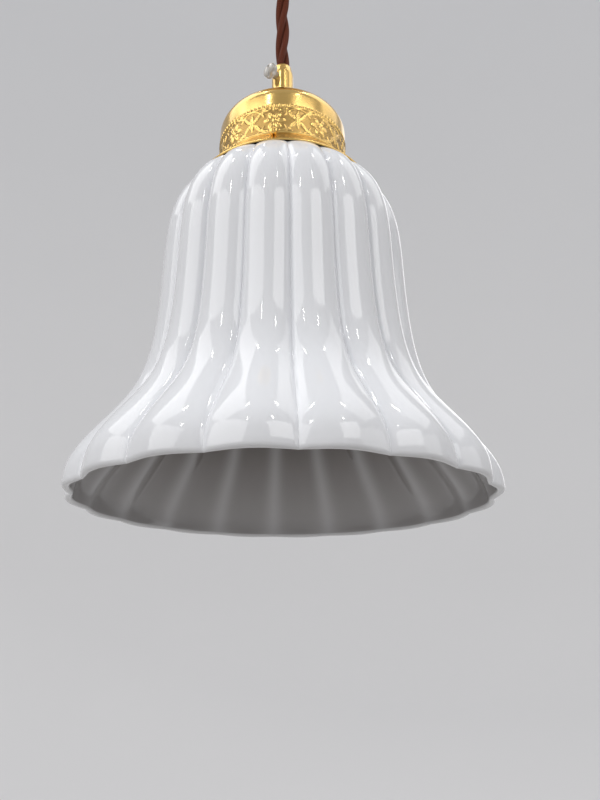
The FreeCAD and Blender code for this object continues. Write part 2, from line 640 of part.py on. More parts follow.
def bulb_filament():
    """Two lead wires down the stem and the filament that spans them."""
    start = CAP_END_Z + 2.0 - STEM_HEIGHT
    drop = 5.0
    wires = []
    for side in (-1, 1):
        foot = Vector(side * (STEM_RADIUS / 2 - WIRE_RADIUS), 0, start)
        hook = Vector(side * FILAMENT_SPAN, 0, start - drop)
        wires.append(rod(WIRE_RADIUS, foot + UP * 0.5, hook))
    left, right = (Vector(side * FILAMENT_SPAN, 0, start - drop) for side in (-1, 1))
    span = rod(2 * WIRE_RADIUS, left, right)
    stem_end = Part.makeCylinder(STEM_RADIUS / 2, 2.0, Vector(0, 0, start))
    return span.fuse(wires).cut(stem_end)


os.makedirs("parts", exist_ok=True)
NODES = {
    "ceiling_bracket": ceiling_bracket,
    "rose_cover": rose_cover,
    "rose_screws": rose_screws,
    "outlet_bush": outlet_bush,
    "terminal_block": terminal_block,
    "terminal_tubes": terminal_tubes,
    "terminal_screws": terminal_screws,
    "flex_knot": flex_knot,
    "flex_cord": flex_cord,
    "cord_grip": cord_grip,
    "grip_screw": grip_screw,
    "nipple": nipple,
    "lock_washer": lock_washer,
    "locknut": locknut,
    "gallery": gallery,
    "shade": shade,
    "holder_cap": holder_cap,
    "holder_skirt": holder_skirt,
    "holder_body": holder_body,
    "screw_shell": screw_shell,
    "centre_contact": centre_contact,
    "holder_terminals": holder_terminals,
    "holder_terminal_screws": holder_terminal_screws,
    "bulb_glass": bulb_glass,
    "bulb_cap": bulb_cap,
    "bulb_insulator": bulb_insulator,
    "bulb_contact": bulb_contact,
    "bulb_stem": bulb_stem,
    "bulb_filament": bulb_filament,
}
for node, make in NODES.items():
    save(node, make())
for number, angle in enumerate(gallery_screw_angles(), 1):
    save("gallery_screw_%d" % number, gallery_screw(angle))
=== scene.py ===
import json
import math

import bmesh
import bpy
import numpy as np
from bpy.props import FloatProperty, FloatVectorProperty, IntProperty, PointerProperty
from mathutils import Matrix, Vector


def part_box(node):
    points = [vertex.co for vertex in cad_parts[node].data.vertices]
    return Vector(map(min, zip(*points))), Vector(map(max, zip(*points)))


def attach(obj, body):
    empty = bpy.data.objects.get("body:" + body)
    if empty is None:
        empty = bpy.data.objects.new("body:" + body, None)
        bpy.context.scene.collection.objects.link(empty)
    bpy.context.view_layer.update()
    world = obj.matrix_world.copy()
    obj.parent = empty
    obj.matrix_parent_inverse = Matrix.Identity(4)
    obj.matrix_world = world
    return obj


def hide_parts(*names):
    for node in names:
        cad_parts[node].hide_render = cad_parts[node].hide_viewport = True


bl_info = {
    "name": "Fluted bell pendant lamp",
    "version": (1, 0, 0),
    "blender": (4, 5, 0),
    "location": "View3D > Sidebar > Lamp",
    "description": "Dresses the packed model of a pendant lamp: opal glass bell, brass gallery, twisted flex",
    "category": "Object",
}

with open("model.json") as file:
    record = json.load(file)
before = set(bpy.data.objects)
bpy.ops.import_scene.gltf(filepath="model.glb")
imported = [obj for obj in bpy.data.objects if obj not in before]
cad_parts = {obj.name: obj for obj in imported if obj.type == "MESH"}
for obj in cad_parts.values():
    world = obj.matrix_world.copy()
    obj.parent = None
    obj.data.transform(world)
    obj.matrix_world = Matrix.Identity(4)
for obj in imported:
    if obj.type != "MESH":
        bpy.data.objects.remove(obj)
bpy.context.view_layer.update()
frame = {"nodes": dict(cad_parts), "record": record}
MM = 0.001

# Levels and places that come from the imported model, in metres, and the bell's height in mm
BELL_LOW, BELL_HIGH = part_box("shade")
GALLERY_LOW, GALLERY_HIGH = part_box("gallery")
FLEX_LOW, FLEX_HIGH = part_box("flex_cord")
KNOT_LOW, KNOT_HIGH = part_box("flex_knot")
RIM_Z = BELL_LOW.z
BELL_HEIGHT = 157.25
FLANGE_Z = RIM_Z + BELL_HEIGHT * MM


# Sizes and colours that a user would change

class BellSettings(bpy.types.PropertyGroup):
    """The glass bell."""
    lobes: IntProperty(name="Flutes", description="Number of flutes round the bell", default=18, min=6)
    groove_depth: FloatProperty(
        name="Groove depth", description="Depth of the grooves as a share of the radius", default=0.058)
    inner_share: FloatProperty(
        name="Inner depth share", description="How much of the flutes shows inside the glass", default=0.75)
    glass: FloatProperty(
        name="Glass", description="Thickness of the glass", default=3.5 * MM, subtype="DISTANCE")
    soft_rim: FloatProperty(
        name="Soft rim", description="How far the grooves are filled where the rim was fire-polished",
        default=1.6 * MM, subtype="DISTANCE")
    crease: FloatProperty(
        name="Crease", description="Extra depth of the narrow line in each groove", default=0.45 * MM,
        subtype="DISTANCE")
    colour: FloatVectorProperty(
        name="Glass colour", description="Colour of the opal glass", default=(0.85, 0.865, 0.90), subtype="COLOR")
    # Painted shade: the opal glass is white inside as well, and this dark grey stands in for the shade in the
    # bell's hollow.
    inner: FloatVectorProperty(
        name="Inner colour", description="Colour of the glass inside the bell", default=(0.21, 0.19, 0.18),
        subtype="COLOR")


class GallerySettings(bpy.types.PropertyGroup):
    """The embossed brass gallery."""
    motifs: IntProperty(name="Motifs", description="Number of flowers round the band", default=9, min=3)
    relief: FloatProperty(
        name="Relief", description="Height of the embossing", default=0.8 * MM, subtype="DISTANCE")
    brass: FloatVectorProperty(
        name="Brass", description="Colour of the polished brass", default=(0.72, 0.475, 0.155), subtype="COLOR")
    tarnish: FloatVectorProperty(
        name="Tarnish", description="Colour of the brass in its recesses", default=(0.15, 0.08, 0.022),
        subtype="COLOR")


class FlexSettings(bpy.types.PropertyGroup):
    """The twisted flex."""
    strand: FloatProperty(
        name="Core radius", description="Radius of one braided core", default=1.76 * MM, subtype="DISTANCE")
    twist: FloatProperty(
        name="Twist length", description="Length of one full turn of the cores", default=72 * MM,
        subtype="DISTANCE")
    phase: FloatProperty(name="Twist start", description="Where the turn starts", default=0.0, subtype="ANGLE")
    colour: FloatVectorProperty(
        name="Braid", description="Colour of the braid", default=(0.195, 0.040, 0.014), subtype="COLOR")
    # Painted shade: the darker colour between the threads stands for the shade in the weave's hollows.
    shadow: FloatVectorProperty(
        name="Braid shadow", description="Colour between the threads", default=(0.05, 0.011, 0.005),
        subtype="COLOR")


class StageSettings(bpy.types.PropertyGroup):
    """Floor, backdrop, lamps and camera."""
    floor: FloatVectorProperty(
        name="Floor", description="Colour of the floor and backdrop", default=(0.42, 0.405, 0.39), subtype="COLOR")
    paleness: FloatProperty(
        name="Paleness", description="Light that the backdrop adds where it is seen", default=0.36)
    key: FloatProperty(name="Key light", description="Power of the main lamp in watts", default=38.0)
    distance: FloatProperty(
        name="Camera distance", description="Level distance from the lamp's axis", default=300 * MM,
        subtype="DISTANCE")
    drop: FloatProperty(
        name="Camera drop", description="How far the camera is below the rim", default=60 * MM, subtype="DISTANCE")
    pitch: FloatProperty(
        name="Camera pitch", description="Upward tilt", default=math.radians(19.85), subtype="ANGLE")
    turn: FloatProperty(
        name="Camera turn", description="Angle round the lamp", default=math.radians(3.3), subtype="ANGLE")
    lens: FloatProperty(name="Lens", description="Focal length in millimetres", default=31.5)


# Surfaces

def make_mesh(name, grids, wrap_rows=False, uv_scale=None, masks=None):
    """One mesh from grids of points.

    Each grid is an array (rows, columns, 3) whose columns close round. The faces are turned outwards by the
    sign of the volume that they enclose, and rows that shrink to a point are merged into a pole.
    """
    verts, faces, uvs, base = [], [], [], 0
    for points in grids:
        rows, cols = points.shape[:2]
        row, col = np.meshgrid(np.arange(rows if wrap_rows else rows - 1), np.arange(cols), indexing="ij")
        corner_rows = np.stack([row, row, row + 1, row + 1], -1).reshape(-1, 4)
        corner_cols = np.stack([col, col + 1, col + 1, col], -1).reshape(-1, 4)
        quads = (corner_rows % rows) * cols + corner_cols % cols
        flat = points.reshape(-1, 3)
        a, b, c, d = (flat[quads[:, i]] for i in range(4))
        volume = (np.cross(a, b) * c).sum() + (np.cross(a, c) * d).sum()
        order = [0, 1, 2, 3] if volume > 0 else [3, 2, 1, 0]
        verts.append(flat)
        faces.append(quads[:, order] + base)
        if uv_scale:
            around = corner_cols[:, order] / cols * uv_scale[0]
            along = corner_rows[:, order] / max(rows - 1, 1) * uv_scale[1]
            uvs.append(np.stack([around, along], -1).reshape(-1, 2))
        base += len(flat)
    verts, faces = np.vstack(verts), np.vstack(faces)
    mesh = bpy.data.meshes.new(name)
    mesh.vertices.add(len(verts))
    mesh.vertices.foreach_set("co", verts.ravel())
    mesh.loops.add(faces.size)
    mesh.loops.foreach_set("vertex_index", faces.ravel().astype(np.int32))
    mesh.polygons.add(len(faces))
    mesh.polygons.foreach_set("loop_start", np.arange(0, faces.size, 4, dtype=np.int32))
    mesh.polygons.foreach_set("use_smooth", np.ones(len(faces), bool))
    if uvs:
        mesh.uv_layers.new(name="UVMap").data.foreach_set("uv", np.vstack(uvs).ravel())
    for mask, values in (masks or {}).items():
        mesh.attributes.new(mask, "FLOAT", "POINT").data.foreach_set("value", values.ravel())
    mesh.update(calc_edges=True)
    work = bmesh.new()
    work.from_mesh(mesh)
    bmesh.ops.remove_doubles(work, verts=work.verts, dist=1e-7)
    bmesh.ops.dissolve_degenerate(work, edges=work.edges, dist=1e-8)
    work.to_mesh(mesh)
    work.free()
    return mesh


def add_piece(name, grids, body, slot, *nodes, **shape):
    """Make a piece from grids in its slot's finish, on a body and in place of the named CAD nodes."""
    mesh = make_mesh(name, grids, **shape)
    mesh.materials.append(finish(slot))
    piece = bpy.data.objects.new(name, mesh)
    bpy.context.scene.collection.objects.link(piece)
    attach(piece, body)
    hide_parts(*nodes)
    return piece


def unit(vectors):
    """Vectors in the same directions, of length one."""
    return vectors / np.linalg.norm(vectors, axis=-1, keepdims=True)


def travelled(points):
    """The length of a line of points up to each of them."""
    return np.concatenate([[0], np.cumsum(np.linalg.norm(np.diff(points, axis=0), axis=1))])


def walled(outline, wall):
    """An outline moved by a wall's thickness along its normal, to the left of the way it runs."""
    along = unit(np.gradient(outline, axis=0))
    return outline + wall * np.stack([-along[:, 1], along[:, 0]], -1)


def fading(distance, width):
    """A share that falls from 1 as exp(-(distance / width)^2)."""
    return np.exp(-(distance / width) ** 2)


def dome(squared):
    """The height of half a ball of radius one over a point at a squared distance from its middle."""
    return np.sqrt(np.clip(1 - squared, 0, 1))


def polar(radius, angle, level):
    """Points (r cos a, r sin a, z)."""
    return np.stack(np.broadcast_arrays(radius * np.cos(angle), radius * np.sin(angle), level), -1)


def pressed(grid, share):
    """A turned grid with each point's distance from the axis multiplied by a share."""
    return grid * np.stack([share, share, np.ones_like(share)], -1)


def rounded(corners, steps=5):
    """An outline of (radius, z, rounding) corners in mm, in metres.

    Each corner becomes the curve p + s*(u*(1-t)^2 + v*t^2), where u and v point along its two sides.
    """
    data = np.array(corners, float)
    places, sizes = data[:, :2] * MM, data[:, 2] * MM
    t = np.linspace(0, 1, steps)[:, None]
    out = []
    for i, (place, size) in enumerate(zip(places, sizes)):
        u, v = unit(np.stack([places[i - 1], places[(i + 1) % len(places)]]) - place)
        out.append(place + size * (u * (1 - t) ** 2 + v * t ** 2) if size else place[None])
    return np.vstack(out)


def resampled(outline, count, closed=False):
    """Points at even steps of length along an outline."""
    if closed:
        outline = np.vstack([outline, outline[:1]])
    reach = travelled(outline)
    steps = np.linspace(0, reach[-1], count, endpoint=not closed)
    return np.stack([np.interp(steps, reach, values) for values in outline.T], -1)


def turned_grid(outline, around=96):
    """A surface of revolution: (r, z) becomes (r cos a, r sin a, z) for angles a round the axis."""
    return polar(outline[:, :1], np.linspace(0, 2 * math.pi, around, endpoint=False), outline[:, 1:])


def lathe_grid(corners, count, around=128):
    """A ring-shaped section of (radius, z, rounding) corners in mm, sampled evenly and turned about the axis."""
    return turned_grid(resampled(rounded(corners, 7), count, closed=True), around)


def threaded(grid, low, high, pitch, depth):
    """Cut a round thread into a turned grid between two levels.

    The radius loses depth times (1 - cos(2 pi (z/pitch - a/2 pi))) / 2, faded in over half a pitch.
    """
    x, y, z = np.moveaxis(grid, -1, 0)
    fade = np.clip((z - low) / (0.5 * pitch), 0, 1) * np.clip((high - z) / (0.5 * pitch), 0, 1)
    cut = 0.5 * depth * (1 - np.cos(2 * math.pi * z / pitch - np.arctan2(y, x))) * fade
    return pressed(grid, 1 - cut / np.maximum(np.hypot(x, y), 1e-6))


def spline_through(points, count):
    """Points along a natural cubic spline through the given ones, with chord length as its parameter."""
    knots = np.array(points, float)
    t = travelled(knots)
    step = np.diff(t)
    inner = np.arange(1, len(t) - 1)
    matrix, right = np.eye(len(t)), np.zeros_like(knots)
    matrix[inner, inner - 1] = step[:-1]
    matrix[inner, inner] = 2 * (step[:-1] + step[1:])
    matrix[inner, inner + 1] = step[1:]
    slope = np.diff(knots, axis=0) / step[:, None]
    right[inner] = 6 * (slope[1:] - slope[:-1])
    bend = np.linalg.solve(matrix, right)
    at = np.linspace(0, t[-1], count)
    k = np.clip(np.searchsorted(t, at, side="right") - 1, 0, len(t) - 2)
    size = step[k][:, None]
    a, b = (t[k + 1] - at)[:, None] / size, (at - t[k])[:, None] / size
    return (a * knots[k] + b * knots[k + 1]
            + ((a ** 3 - a) * bend[k] + (b ** 3 - b) * bend[k + 1]) * size ** 2 / 6)


def bow(centre, across, up, start, end, steps):
    """(radius, z) points along an elliptical arc: centre + (across cos a, up sin a)."""
    angle = np.radians(np.linspace(start, end, steps))
    return np.stack([centre[0] + across * np.cos(angle), centre[1] + up * np.sin(angle)], -1)


def levels(node_name):
    """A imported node's lowest and highest levels in mm."""
    low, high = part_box(node_name)
    return low.z / MM, high.z / MM


# Glass bell, in mm

RIM_RADIUS, WAIST_RADIUS, SHOULDER_RADIUS, SEAT_RADIUS = 92.5, 59.8, 55.6, 43.6
WAIST_HEIGHT, SHOULDER_HEIGHT, SEAT_HEIGHT, TOP_RISE = 76.0, 136.0, BELL_HEIGHT - 0.05, 3.5
NECK_RADIUS, LIP_RADIUS, BORE_RADIUS, LIP_HEIGHT = 26.3, 28.5, 22.8, 4.5
CREASE_WIDTH, SOFT_WIDTH, POLISHED_HEIGHT, SHADED_HEIGHT = 0.9, 4.5, 14.0, 42.0
FLARE_CURVE = ((0.0, 1.0), (0.12, 0.969), (0.21, 0.872), (0.30, 0.726), (0.44, 0.469), (0.59, 0.239),
               (0.78, 0.080), (1.0, 0.0))
SHOULDER_CURVE = ((0.0, 1.0), (0.377, 0.792), (0.689, 0.492), (0.887, 0.222), (1.0, 0.0))


def crest_curve(count):
    """(radius, z) points up the bell over the crest of a flute, in metres."""
    flare = [(WAIST_RADIUS + (RIM_RADIUS - WAIST_RADIUS) * bulge, WAIST_HEIGHT * share)
             for share, bulge in FLARE_CURVE]
    middle = [(0.62 * WAIST_RADIUS + 0.38 * SHOULDER_RADIUS, 0.5 * (WAIST_HEIGHT + SHOULDER_HEIGHT))]
    shoulder = [(SEAT_RADIUS + (SHOULDER_RADIUS - SEAT_RADIUS) * bulge,
                 SHOULDER_HEIGHT + (SEAT_HEIGHT - SHOULDER_HEIGHT) * share)
                for share, bulge in SHOULDER_CURVE]
    top = [(0.5 * (SEAT_RADIUS + NECK_RADIUS), SEAT_HEIGHT + TOP_RISE)]
    return spline_through(flare + middle + shoulder + top, count) * MM + (0, RIM_Z)


def groove_share(z):
    """The part of the flutes' depth that is left at a level: 1 up to the shoulder, 0 at the neck."""
    start = RIM_Z + 0.5 * (SHOULDER_HEIGHT + SEAT_HEIGHT) * MM
    end = FLANGE_Z + TOP_RISE * MM
    return 1 - np.clip((z - start) / (end - start), 0, 1) ** 2


def fluted(crest, depth, off_crest, lobes):
    """The radius of a ring of circular arcs, one per flute.

    An arc has its centre at c = (R^2 - g^2) / (2 (R - g cos h)) from the axis, with R the crest radius,
    g = R (1 - depth) the groove radius and h half a flute's angle, so r = c cos f + sqrt((R-c)^2 - (c sin f)^2).
    """
    groove = crest * (1 - depth)
    centre = (crest ** 2 - groove ** 2) / (2 * (crest - groove * math.cos(math.pi / lobes)))
    rise = np.maximum((crest - centre) ** 2 - (centre * np.sin(off_crest)) ** 2, 0)
    return centre * np.cos(off_crest) + np.sqrt(rise)


def bell_grid(settings):
    """The closed glass wall as one grid, outside, neck, bore, inside and rim, and how much painted shade each point
    has.

    The angles gather at the grooves. A crease deepens them, and near the rim they are filled. The inside is
    the crest's line moved in by the wall, with a share of the flutes as ridges, and the rim is half an ellipse.
    """
    lobes, wall = settings.lobes, settings.glass
    half = math.pi / lobes
    within = np.linspace(-1, 1, 18, endpoint=False)
    off_crest = np.tile(half * np.sin(0.5 * math.pi * within), lobes)[None]
    angle = np.repeat(-math.pi / 2 + half + 2 * half * np.arange(lobes), len(within))[None] + off_crest

    crest = crest_curve(104)
    inner = walled(crest, wall)
    share = groove_share(crest[:, 1:])
    from_groove = crest[:, :1] * (half - np.abs(off_crest))
    polish = fading(crest[:, 1:] - RIM_Z, POLISHED_HEIGHT * MM)
    outside = (fluted(crest[:, :1], settings.groove_depth * share, off_crest, lobes)
               - settings.crease * share * (1 - polish) * fading(from_groove, CREASE_WIDTH * MM)
               + settings.soft_rim * polish * fading(from_groove, SOFT_WIDTH * MM))
    ridge = (0.5 - 0.5 * np.cos(math.pi * off_crest / half)) ** 1.4
    ridge_depth = settings.groove_depth * settings.inner_share * groove_share(inner[:, 1:]) * (1 - 0.55 * polish)
    inside = inner[:, :1] * (1 - ridge_depth * ridge)

    top, bore_low = (BELL_HIGH.z - RIM_Z) / MM, (inner[-1, 1] - RIM_Z) / MM
    seat = SEAT_HEIGHT + TOP_RISE
    neck = rounded([(crest[-1, 0] / MM, seat, 0), (NECK_RADIUS, seat, 1.2), (NECK_RADIUS, top - LIP_HEIGHT, 0.8),
                    (LIP_RADIUS, top - LIP_HEIGHT, 1.6), (LIP_RADIUS, top, 1.8), (BORE_RADIUS, top, 1.0),
                    (BORE_RADIUS, bore_low, 2.0), (inner[-1, 0] / MM, bore_low, 0)], 6)[1:-1] + (0, RIM_Z)

    start = int(np.searchsorted(crest[:, 1], RIM_Z + 0.5 * wall))
    lip = np.linspace(math.pi, 0, 11)[1:-1, None]
    across = 0.5 - 0.5 * np.cos(lip)
    rim_radius = outside[start] + (inside[start] - outside[start]) * across
    base_z = crest[start, 1] + (inner[start, 1] - crest[start, 1]) * across
    rim_z = base_z - (base_z - RIM_Z) * np.sin(lip)
    inner_z = inner[:start - 1:-1, 1:]
    radius = np.vstack([outside[start:], neck[:, :1] + 0 * angle, inside[:start - 1:-1], rim_radius])
    level = np.vstack([crest[start:, 1:], neck[:, 1:], inner_z, rim_z])
    # Painted shade on the inside of the bell: darker deeper in, and lighter along the inner ridges, where painted
    # light stands for light through the thin glass. The outside and the rim get none.
    shaded = np.zeros_like(radius)
    painted_depth_shade = 0.5 + 0.5 * np.clip((inner_z - RIM_Z) / (SHADED_HEIGHT * MM), 0, 1)
    shaded[-len(inner_z) - len(lip):-len(lip)] = painted_depth_shade * (1 - 0.4 * fading(half - np.abs(off_crest), 0.3 * half))
    return polar(radius, angle, level), shaded


# Gallery, in mm

GALLERY_RADIUS, FLANGE_RADIUS, GALLERY_WALL = 32.6, 44.0, 0.9
FLANGE_RISE, FLANGE_EDGE, FLANGE_SEAT, FLANGE_HOLLOW, SEAT_SLOPE = 13.25, 1.0, 1.1, 0.7, 0.45
CROWN_WIDTH, CROWN_RISE = 24.0, 14.5
EDGE_ROUNDING = 0.55
CROWN_HOLE = 5.1
BAND_HEIGHT = 17.0
BEADS = 96
PEBBLE = 1.3
GROUND = 0.45

# Leaves of the band as (x, y, turn, half length, half width): the fans from the middle between two flowers,
# and the sprays from a flower's heart. Rings as (share of the band's height, thickness)
FANS = ((0, 0.6, 1.571, 5.4, 1.5), (2.7, 2.6, 0.95, 3.3, 1.1), (2.7, -2.6, -0.95, 3.3, 1.1),
        (5.6, 5.3, 0.35, 2.6, 0.9), (5.6, -5.3, -0.35, 2.6, 0.9))
SPRAYS = ((4.3, 6.3, 0.45, 2.5, 0.85), (2.0, 6.9, 2.5, 1.7, 0.6), (8.2, 7.6, -0.2, 2.0, 0.6))
RINGS = ((0.89, 0.30), (0.045, 0.40))


def hollow(start, end, depth, steps):
    """(radius, z) points between two points, along a parabola that sags by 4 d t (1 - t), with d its depth."""
    start, run = np.array(start), np.subtract(end, start)
    along = np.linspace(0, 1, steps)[:, None]
    return start + run * along + 4 * depth * along * (1 - along) * np.array((-run[1], run[0])) / np.hypot(*run)


def leaf(x, y, u, v, turn, length, width):
    """A pointed leaf in 0 to 1: half an ellipse across the half width w (1 - s^2), with a sunk midrib and veins."""
    a = (x - u) * math.cos(turn) + (y - v) * math.sin(turn)
    b = (y - v) * math.cos(turn) - (x - u) * math.sin(turn)
    s = a / length
    arch = dome((b / np.maximum(width * np.clip(1 - s ** 2, 0, 1), 1e-3)) ** 2)
    vein = 0.12 * np.cos(2 * math.pi * (a - 0.8 * np.abs(b)) / 1.3)
    return np.where(np.abs(s) < 1, arch * (0.88 + vein) * (1 - 0.5 * fading(b, 0.28)), 0)


def blossom(x, y, petals, reach, width):
    """A flower in 0 to 1: each petal half an ellipsoid at 0.6 of the reach, round a domed heart."""
    rho, turn = np.hypot(x, y), np.arctan2(y, x)
    off = ((turn * petals / (2 * math.pi) + 0.5) % 1 - 0.5) * 2 * math.pi / petals
    out, side = rho * np.cos(off), rho * np.sin(off)
    petal = dome(((out - 0.6 * reach) / (0.4 * reach)) ** 2 + (side / width) ** 2)
    return np.maximum(0.85 * petal * (1 - 0.35 * fading(side, 0.25)), dome((rho / (0.24 * reach)) ** 2))


def ornament(angle, up, motifs, circumference, height):
    """Relief in 0 to 1 of the band: flowers, fans and sprays of leaves, a vine, buds, pebbles, beads and rings.

    up runs from 0 to 1 over the band, x and y are mm from the heart of the nearest flower, and the highest
    form at a point is the one that shows.
    """
    width = circumference / motifs
    x = ((angle * motifs / (2 * math.pi)) % 1 - 0.5) * width
    y = (up - 0.45) * height
    between = width / 2 - np.abs(x)
    bead_x = ((angle * BEADS / (2 * math.pi)) % 1 - 0.5) * circumference / BEADS
    pebbles = 0.5 + 0.5 * np.cos(2 * math.pi * x / PEBBLE) * np.cos(2 * math.pi * y / PEBBLE)
    return np.maximum.reduce(np.broadcast_arrays(
        blossom(x, y, 6, 5.4, 1.45),
        *(0.8 * leaf(between, y, *place) for place in FANS),
        0.55 * fading(np.hypot(between, y) - 6.9, 0.42) * (np.hypot(x, y) > 5.7),
        *(0.7 * leaf(np.abs(x), np.abs(y), *place) for place in SPRAYS),
        0.8 * dome((x ** 2 + (np.abs(y) - 6.6) ** 2) / 0.9),
        0.24 * pebbles,
        0.85 * dome((bead_x ** 2 + ((up - 0.955) * height) ** 2) / 0.75),
        *(0.8 * fading((up - level) * height, thick) for level, thick in RINGS)))


def gallery_outline():
    """(radius, z) points of the gallery's outside and inside, counted from the rim, and how many are outside."""
    crown, low = (GALLERY_HIGH.z - RIM_Z) / MM, (GALLERY_LOW.z - RIM_Z) / MM
    foot = BELL_HEIGHT + FLANGE_RISE
    middle = (GALLERY_RADIUS - CROWN_WIDTH, crown - CROWN_RISE)
    wall, edge_top = GALLERY_WALL, BELL_HEIGHT + FLANGE_EDGE
    edge = bow((FLANGE_RADIUS - EDGE_ROUNDING, 0.5 * (low + edge_top)), EDGE_ROUNDING, 0.5 * (edge_top - low),
               -90, 70, 8)
    flange = hollow(edge[-1], (GALLERY_RADIUS, foot), FLANGE_HOLLOW, 14)[1:]
    band = np.stack([np.full(70, GALLERY_RADIUS), np.linspace(foot, foot + BAND_HEIGHT + 0.6, 71)[1:]], -1)
    crown_round = bow(middle, CROWN_WIDTH, CROWN_RISE, 0, 90, 30)
    outside = np.vstack([edge, flange, band, crown_round, [(CROWN_HOLE, crown)]])
    inner_round = bow(middle, CROWN_WIDTH - wall, CROWN_RISE - wall, 90, 0, 10)
    seat = (FLANGE_RADIUS - FLANGE_SEAT, BELL_HEIGHT + SEAT_SLOPE * FLANGE_SEAT)
    inner_flange = hollow(seat, (GALLERY_RADIUS - wall, foot - 0.3), FLANGE_HOLLOW, 6)[::-1]
    return np.vstack([outside, [(CROWN_HOLE, crown - wall)], inner_round, inner_flange]), len(outside)


def gallery_grid(settings):
    """The closed brass wall, its band moved by relief times (height - ground), and how recessed each point is."""
    outline, outside = gallery_outline()
    around = 684
    grid = turned_grid(outline * MM + (0, RIM_Z), around)
    angle = np.linspace(0, 2 * math.pi, around, endpoint=False)[None]
    up = (outline[:, 1:] - BELL_HEIGHT - FLANGE_RISE) / BAND_HEIGHT
    shown = (np.arange(len(outline))[:, None] < outside) & (outline[:, :1] > GALLERY_RADIUS - 0.1)
    fade = np.clip(up / 0.03, 0, 1) * np.clip((1 - up) / 0.03, 0, 1) * shown
    relief = ornament(angle, up, settings.motifs, 2 * math.pi * GALLERY_RADIUS, BAND_HEIGHT)
    share = 1 + settings.relief * (relief - GROUND) * fade / np.hypot(grid[..., 0], grid[..., 1])
    return pressed(grid, share), np.clip(0.8 - 2.1 * relief, 0, 1) * fade


# Turned, spun and threaded pieces, in mm

THREAD_PITCH = 3.63
CAP_THREAD, SHELL_THREAD = 0.75, 0.3
PIT_RADIUS, PIT_FLOOR = 2.05, 4.4
SIDE_SCREW = {"shank": 2.0, "head": 4.0, "near": 4.1, "seat": 8.4, "far": 11.8, "slot": 1.2, "depth": 1.4}
SHADE_SCREW = {"shank": 1.4, "head": 1.9, "near": 26.6, "seat": 35.0, "far": 36.5, "slot": 0.6, "depth": 0.7}
COVER_SCREW = {"shank": 1.75, "head": 3.6, "near": 36.5, "seat": 42.0, "far": 45.0, "slot": 0.9, "depth": 1.0}


def grip_grid():
    """The cord grip: a foot, a sleeve with two turned lines, a tapered nose, and a round pit for the side screw.

    Inside the pit's circle the radius drops to the pit's floor, over a narrow soft edge.
    """
    low, top = levels("cord_grip")
    lines = [(radius, low + line + off, 0.1)
             for line in (4.2, 5.4) for radius, off in ((5.8, -0.35), (5.55, 0), (5.8, 0.35))]
    grid = lathe_grid([(5.05, low, 0), (7.0, low, 0.35), (7.0, low + 1.6, 0.6), (6.2, low + 1.8, 0.3),
                       (5.8, low + 2.6, 0.5), *lines, (5.8, top - 5.0, 0.9), (4.95, top - 0.8, 0.4),
                       (4.9, top, 0.5), (4.15, top, 0.4), (4.15, low + 12.0, 0), (5.05, low + 12.0, 0)], 300, 160)
    x, y, z = np.moveaxis(grid, -1, 0)
    radius = np.hypot(x, y)
    level, angle = screw_place("grip_screw")
    off = np.angle(np.exp(1j * (np.arctan2(y, x) - angle)))
    away = np.hypot(radius * off, z - level)
    pit = np.clip((PIT_RADIUS * MM - away) / (0.12 * MM), 0, 1) * (radius > 4.7 * MM)
    return pressed(grid, 1 - pit * (1 - PIT_FLOOR * MM / np.maximum(radius, 1e-6)))


def cover_grid():
    """The rose cover: a quarter ellipse from the ceiling to the boss, with a rolled edge and two beads."""
    low = levels("rose_cover")[0]
    rolled = bow((41.45, -0.75), 0.55, 0.7, 180, 0, 10)
    outer = bow((12.0, -9.0), 30.0, 17.0, 0, -84, 60)
    root = bow((12.1, -27.2), 0.75, 1.0, 60, -60, 10)
    end = bow((12.1, low + 1.1), 0.75, 1.0, 60, -60, 10)
    inner = bow((12.0, -9.0), 29.0, 16.0, -88, 0, 40)
    section = np.vstack([rolled, [(41.95, -2.0), (42.0, -2.2)], outer, root, end,
                         [(11.9, low), (9.5, low), (9.5, low + 1.0), (11.0, low + 1.0), (11.0, -25.0)], inner])
    return turned_grid(resampled(section * MM, 380, closed=True), 160)


def bulb_grid():
    """The bulb: a ball that runs into its neck along a spline, walled inwards along the outline's normal."""
    low, top = levels("bulb_glass")
    ball = bow((0, low + 22.5), 22.5, 22.5, -90, 32, 14)
    outside = spline_through(np.vstack([ball, [(14.4, top - 10.5), (12.6, top - 5.0), (12.4, top)]]), 110)
    inside = walled(outside, 0.8)
    outside[0, 0] = inside[0, 0] = 0
    inside[-1, 1] = top
    return turned_grid(np.vstack([outside, inside[::-1]]) * MM, 96)


def cap_grid():
    """The bulb's screw cap: a plain collar, a rolled thread and a shoulder."""
    low, top = levels("bulb_cap")
    grid = lathe_grid([(12.7, low, 0), (13.1, low, 0.1), (13.1, top - 3.0, 0.8), (7.0, top, 0.3),
                       (7.0, top - 0.4, 0), (12.7, top - 3.4, 0.6)], 260)
    return threaded(grid, (low + 3.0) * MM, (top - 2.6) * MM, THREAD_PITCH * MM, CAP_THREAD * MM)


def shell_grid():
    """The lampholder's threaded shell."""
    low, top = levels("screw_shell")
    grid = lathe_grid([(13.5, low, 0), (14.0, low, 0.1), (14.0, top, 0.1), (13.5, top, 0)], 200)
    return threaded(grid, (low + 1.0) * MM, (top - 1.0) * MM, THREAD_PITCH * MM, SHELL_THREAD * MM)


def skirt_grid():
    """The lampholder's skirt: a beaded sleeve turned in over the porcelain."""
    low, top = levels("holder_skirt")
    return lathe_grid([(18.8, top, 0), (19.6, top, 0.1), (20.3, top - 0.5, 0.5), (20.3, top - 1.5, 0.5),
                       (19.6, top - 2.1, 0.2), (19.6, low + 5.5, 0.2), (19.9, low + 5.0, 0.25),
                       (19.6, low + 4.5, 0.2), (19.6, low, 1.2), (15.6, low, 0.3), (15.6, low + 0.8, 0.2),
                       (18.8, low + 0.8, 0.5)], 260)


